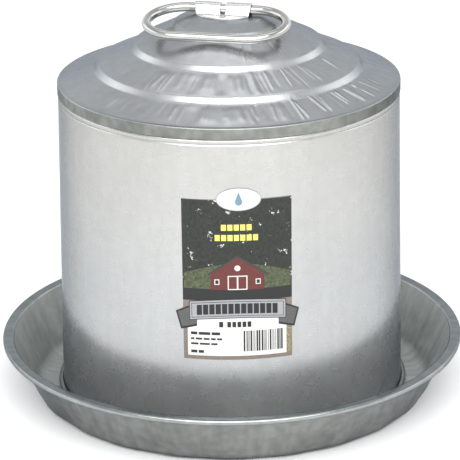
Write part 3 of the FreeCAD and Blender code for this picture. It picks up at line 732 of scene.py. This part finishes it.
class Print:
    """Flat shapes of ink, in millimetres from the label's middle foot, wrapped on the wall at the end."""

    def __init__(self, name):
        self.name = name
        self.work = bmesh.new()
        self.materials = []

    def shape(self, points, level, material):
        """One filled outline at a level above the wall; higher levels are printed later."""
        if material not in self.materials:
            self.materials.append(material)
        part = bmesh.new()
        face = part.faces.new([part.verts.new((u, v, 0)) for u, v in points])
        if face.normal.z < 0:
            face.normal_flip()
        low = min(p[0] for p in points)
        high = max(p[0] for p in points)
        cut_at = math.ceil(low / BEND_EVERY) * BEND_EVERY
        while cut_at < high - 0.01:
            everything = part.verts[:] + part.edges[:] + part.faces[:]
            bmesh.ops.bisect_plane(part, geom=everything, plane_co=(cut_at, 0, 0), plane_no=(1, 0, 0))
            cut_at += BEND_EVERY
        bmesh.ops.triangulate(part, faces=part.faces[:])
        bmesh.ops.recalc_face_normals(part, faces=part.faces)
        if sum(f.normal.z for f in part.faces) < 0:
            bmesh.ops.reverse_faces(part, faces=part.faces)
        extruded = bmesh.ops.extrude_face_region(part, geom=part.faces[:])
        for item in extruded["geom"]:
            if isinstance(item, bmesh.types.BMVert):
                item.co.z = INK_THICK
        bmesh.ops.recalc_face_normals(part, faces=part.faces)
        index = self.materials.index(material)
        for f in part.faces:
            f.material_index = index
            f.smooth = False
        for vert in part.verts:
            vert.co.z += level * INK_STEP
        mesh = bpy.data.meshes.new("ink")
        part.to_mesh(mesh)
        part.free()
        self.work.from_mesh(mesh)
        bpy.data.meshes.remove(mesh)

    def box(self, u0, v0, u1, v1, level, material):
        self.shape([(u0, v0), (u1, v0), (u1, v1), (u0, v1)], level, material)

    def oval(self, u, v, ru, rv, level, material, count=48):
        angles = [TURN * k / count for k in range(count)]
        ring = [(u + ru * math.cos(angle), v + rv * math.sin(angle)) for angle in angles]
        self.shape(ring, level, material)

    def finish(self):
        """Wrap everything on the wall and return it as one object."""
        for vert in self.work.verts:
            u, v, lift = vert.co
            z = LABEL_LOW + v
            radius = wall_radius(z) + PAPER_GAP + lift
            angle = FRONT + LABEL_MIDDLE + u / wall_radius(z)
            vert.co = Vector((radius * math.cos(angle), radius * math.sin(angle), z)) * MM
        mesh = bpy.data.meshes.new(self.name)
        self.work.to_mesh(mesh)
        self.work.free()
        for material in self.materials:
            mesh.materials.append(material)
        return link_mesh(self.name, mesh)


def label_inks():
    """Every colour printed on the label."""
    return SimpleNamespace(
        paper=ink("label_white", (0.80, 0.80, 0.77), 0.03, 300),
        border=ink("ink_taupe", (0.22, 0.18, 0.15), 0.2, 700),
        forest=foliage("ink_forest", (0.003, 0.004, 0.003), (0.016, 0.021, 0.014), 520, 0.63),
        grass=foliage("ink_grass", (0.02, 0.027, 0.012), (0.075, 0.09, 0.042), 700),
        hedge=foliage("ink_hedge", (0.04, 0.045, 0.02), (0.30, 0.26, 0.14), 900),
        red=ink("ink_red", (0.125, 0.022, 0.019), 0.3, 1200),
        roof=ink("ink_roof", (0.036, 0.038, 0.036), 0.2, 900),
        black=ink("ink_black", (0.012, 0.012, 0.012), 0.3, 900),
        white=ink("ink_white", (0.74, 0.73, 0.68), 0.05, 900),
        yellow=ink("ink_yellow", (0.78, 0.70, 0.16), 0.05, 900),
        plaque=ink("ink_plaque", (0.36, 0.36, 0.38), 0.06, 500),
        ribbon=ink("ink_ribbon", (0.10, 0.10, 0.095), 0.1, 500),
        water=ink("ink_water", (0.16, 0.27, 0.36), 0.05, 500),
    )


def print_barn(sheet, inks):
    """Woods, a meadow and a plain barn seen square on."""
    ground, wide, eaves, ridge = 47.5, 17.0, 58.0, 69.0
    inner = LABEL_HALF - 0.8
    sheet.box(-LABEL_HALF, PICTURE_FOOT, LABEL_HALF, LABEL_TALL - 0.4, 1, inks.forest)
    hill = [(u, 57.0 + 8.0 * math.cos(u / 24.0)) for u in np.linspace(-inner, inner, 24)]
    sheet.shape([(inner, ground - 0.5), (-inner, ground - 0.5)] + hill, 2, inks.grass)
    sheet.box(-inner, PICTURE_FOOT + 0.5, inner, ground + 0.5, 3, inks.black)
    front = [(-wide, ground), (wide, ground), (wide, eaves), (0, ridge), (-wide, eaves)]
    sheet.shape(front, 4, inks.red)
    for side in (-1, 1):
        verge = side * (wide + 1.5)
        pitch = [(0, ridge), (verge, eaves - 1.0), (verge, eaves + 0.6), (0, ridge + 1.6)]
        sheet.shape(pitch, 5, inks.roof)
        pane = side * 13.0
        sheet.box(pane - 1.6, 51.0, pane + 1.6, 54.6, 5, inks.white)
        sheet.box(pane - 1.0, 51.6, pane + 1.0, 54.0, 6, inks.black)
    sheet.box(-6.2, ground, 6.2, 57.0, 5, inks.white)
    for side in (-1, 1):
        door = side * 3.0
        sheet.box(door - 2.5, 48.2, door + 2.5, 56.3, 6, inks.red)
    sheet.oval(0, 62.0, 1.9, 1.9, 5, inks.white, 24)


def print_rules(sheet, inks):
    """Two rows of yellow blocks in place of a slogan."""
    for v, reach in ((87.0, 10.0), (80.2, 14.0)):
        for u in np.arange(-reach, reach - 1.0, 4.0):
            sheet.box(u, v, u + 3.2, v + 4.0, 2, inks.yellow)


def print_crest(sheet, inks):
    """Oval crest with a plain water drop."""
    middle, drop_radius = 1.2, 2.3
    sheet.oval(middle, LABEL_TALL, 14.2, 7.6, 2, inks.plaque)
    sheet.oval(middle, LABEL_TALL, 13.7, 7.1, 3, inks.white)
    drop = [(middle + drop_radius * math.cos(a), LABEL_TALL - 1.7 + drop_radius * math.sin(a))
            for a in np.linspace(math.radians(155), math.radians(385), 24)]
    sheet.shape(drop + [(middle, LABEL_TALL + 5.0)], 4, inks.water)


def print_panel(sheet, inks):
    """White panel with blank blocks where there would be words, and bars dealt at random."""
    sheet.box(-32.2, 2.6, 31.2, 30.0, 1, inks.paper)
    sheet.box(31.4, 3.0, 34.0, 24.0, 1, inks.hedge)
    rows = ((16.8, 1.9, (4.2, 7.4, 5.4)), (13.4, 1.3, (2.2, 4.2, 3.8, 3.0, 3.2)),
            (10.0, 1.3, (4.8, 6.4, 4.0)), (4.4, 1.9, (4.0, 3.4)))
    word_gap = 0.9
    for v, height, widths in rows:
        u = -30.2
        for width in widths:
            sheet.box(u, v, u + width, v + height, 2, inks.black)
            u += width + word_gap
    for u, width in ((-12.0, 2.6), *((-6.8 + 3.2 * k, 2.4) for k in range(5))):
        sheet.box(u, 22.2, u + width, 25.9, 2, inks.black)
    rng = random.Random(9)
    u, bars_end = 3.4, 28.6
    while u < bars_end:
        width = rng.choice((0.35, 0.35, 0.7, 1.05))
        sheet.box(u, 5.6, u + width, 19.6, 2, inks.black)
        u += width + rng.choice((0.4, 0.4, 0.8))


def print_banner(sheet, inks):
    """Ribbon ends, then an arched plaque with a row of blank blocks."""
    half, arch = 31, 2.0

    def arched(u0, u1, v0, v1, count):
        """A bar from u0 to u1 that bows upward in the middle."""
        lower = [(u0 + (u1 - u0) * k / count, v0) for k in range(count + 1)]
        upper = [(u, v1) for u, _ in reversed(lower)]
        return [(u, v + arch * (1 - (u / half) ** 2)) for u, v in lower + upper]

    tail = ((26, 22.8), (36.5, 20.0), (39.8, 32.0), (31, 36.2), (26, 34))
    face = ((26, 24.2), (35.8, 21.6), (38.6, 31.6), (31, 35.0), (26, 33))
    for side in (-1, 1):
        sheet.shape([(side * u, v) for u, v in tail], 4, inks.black)
        sheet.shape([(side * u, v) for u, v in face], 5, inks.ribbon)
    for inset, level, material in ((0, 6, inks.black), (0.5, 7, inks.plaque),
                                   (1.6, 8, inks.black), (1.95, 9, inks.plaque)):
        bar = arched(-half + inset, half - inset, 26.4 + inset, 39.4 - inset, 16)
        sheet.shape(bar, level, material)
    for u in np.arange(-26.0, 24.0, 4.0):
        sheet.shape(arched(u, u + 3.3, 29.6, 36.4, 2), 10, inks.black)


def make_label():
    inks = label_inks()
    sheet = Print("paper_label")
    sheet.box(-LABEL_HALF, 0, LABEL_HALF, LABEL_TALL, 0, inks.border)
    for draw in (print_barn, print_rules, print_crest, print_panel, print_banner):
        draw(sheet, inks)
    label = sheet.finish()
    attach(label, "cover")
    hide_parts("label")


# ---- floor, light and camera ----

FLOOR_HALF = 12.0             # metres
# the studio's brightness by height: a share of straight up, and a level
SKY = ((0.0, 1.42), (0.21, 1.36), (0.42, 0.95), (0.66, 0.68), (1.0, 0.68))
SKY_TINT = (0.985, 1.0, 1.02)
LAMP_AIM = (0, 0, 0.12)
# name, place, width and height in metres, watts, aim
LAMPS = (
    ("front", (0.0, -1.3, 1.75), (3.0, 1.1), 38, LAMP_AIM),
    ("low", (0.0, -1.5, 1.0), (1.6, 0.6), 10, (0, -0.45, 0)),
    ("top", (0.1, 0.45, 2.3), (2.4, 0.8), 6, LAMP_AIM),
    ("left", (-1.6, 0.45, 0.95), (1.8, 0.6), 3.5, LAMP_AIM),
    ("right", (1.6, 0.45, 0.95), (1.8, 0.6), 3.5, LAMP_AIM),
)


def make_floor():
    h = FLOOR_HALF
    mesh = bpy.data.meshes.new("floor")
    mesh.from_pydata([(-h, -h, 0), (h, -h, 0), (h, h, 0), (-h, h, 0)], [], [(0, 1, 2, 3)])
    material = bpy.data.materials.new("floor_pale")
    material.use_nodes = True
    shader = material.node_tree.nodes["Principled BSDF"]
    shader.inputs["Base Color"].default_value = (0.93, 0.93, 0.93, 1)
    shader.inputs["Roughness"].default_value = 0.9
    mesh.materials.append(material)
    link_mesh("floor", mesh)


def make_world():
    """A studio tent: white all round, greyer overhead."""
    world = bpy.data.worlds.new("studio")
    scene.world = world
    world.use_nodes = True
    tree = world.node_tree
    where = tree.nodes.new("ShaderNodeTexCoord")
    split = tree.nodes.new("ShaderNodeSeparateXYZ")
    ramp = tree.nodes.new("ShaderNodeValToRGB")
    tree.links.new(where.outputs["Generated"], split.inputs["Vector"])
    tree.links.new(split.outputs["Z"], ramp.inputs["Fac"])
    elements = ramp.color_ramp.elements
    while len(elements) < len(SKY):
        elements.new(0.5)
    for element, (place, level) in zip(elements, SKY):
        element.position = place
        element.color = (*(level * tint for tint in SKY_TINT), 1)
    background = tree.nodes["Background"]
    background.inputs["Strength"].default_value = 1.0
    tree.links.new(ramp.outputs["Color"], background.inputs["Color"])


def make_lamps():
    for name, place, size, power, aim in LAMPS:
        data = bpy.data.lights.new(name, "AREA")
        data.shape = "RECTANGLE"
        data.size, data.size_y = size
        data.energy = power
        lamp = bpy.data.objects.new(name, data)
        lamp.location = place
        lamp.rotation_euler = (Vector(aim) - Vector(place)).to_track_quat("-Z", "Y").to_euler()
        scene.collection.objects.link(lamp)


def make_camera():
    """The photograph's view: from the front, a little above, with a slight roll."""
    distance = 1.700
    elevation = math.radians(20.15)
    roll = math.radians(-0.72)
    target = Vector((0, 0, 0.109))
    data = bpy.data.cameras.new("camera")
    data.sensor_width = 36
    data.lens = 197.8
    data.shift_x = -0.0013
    data.shift_y = 0.0011
    data.clip_end = 60
    camera = bpy.data.objects.new("camera", data)
    back = Vector((0, -math.cos(elevation), math.sin(elevation)))
    camera.location = target + back * distance
    camera.rotation_euler = (-back).to_track_quat("-Z", "Y").to_euler()
    camera.rotation_euler.rotate_axis("Z", roll)
    scene.collection.objects.link(camera)
    scene.camera = camera


dress_carried()
make_pan()
make_cover_wall()
make_cover_roof()
make_clip()
make_label()
make_floor()
make_world()
make_lamps()
make_camera()
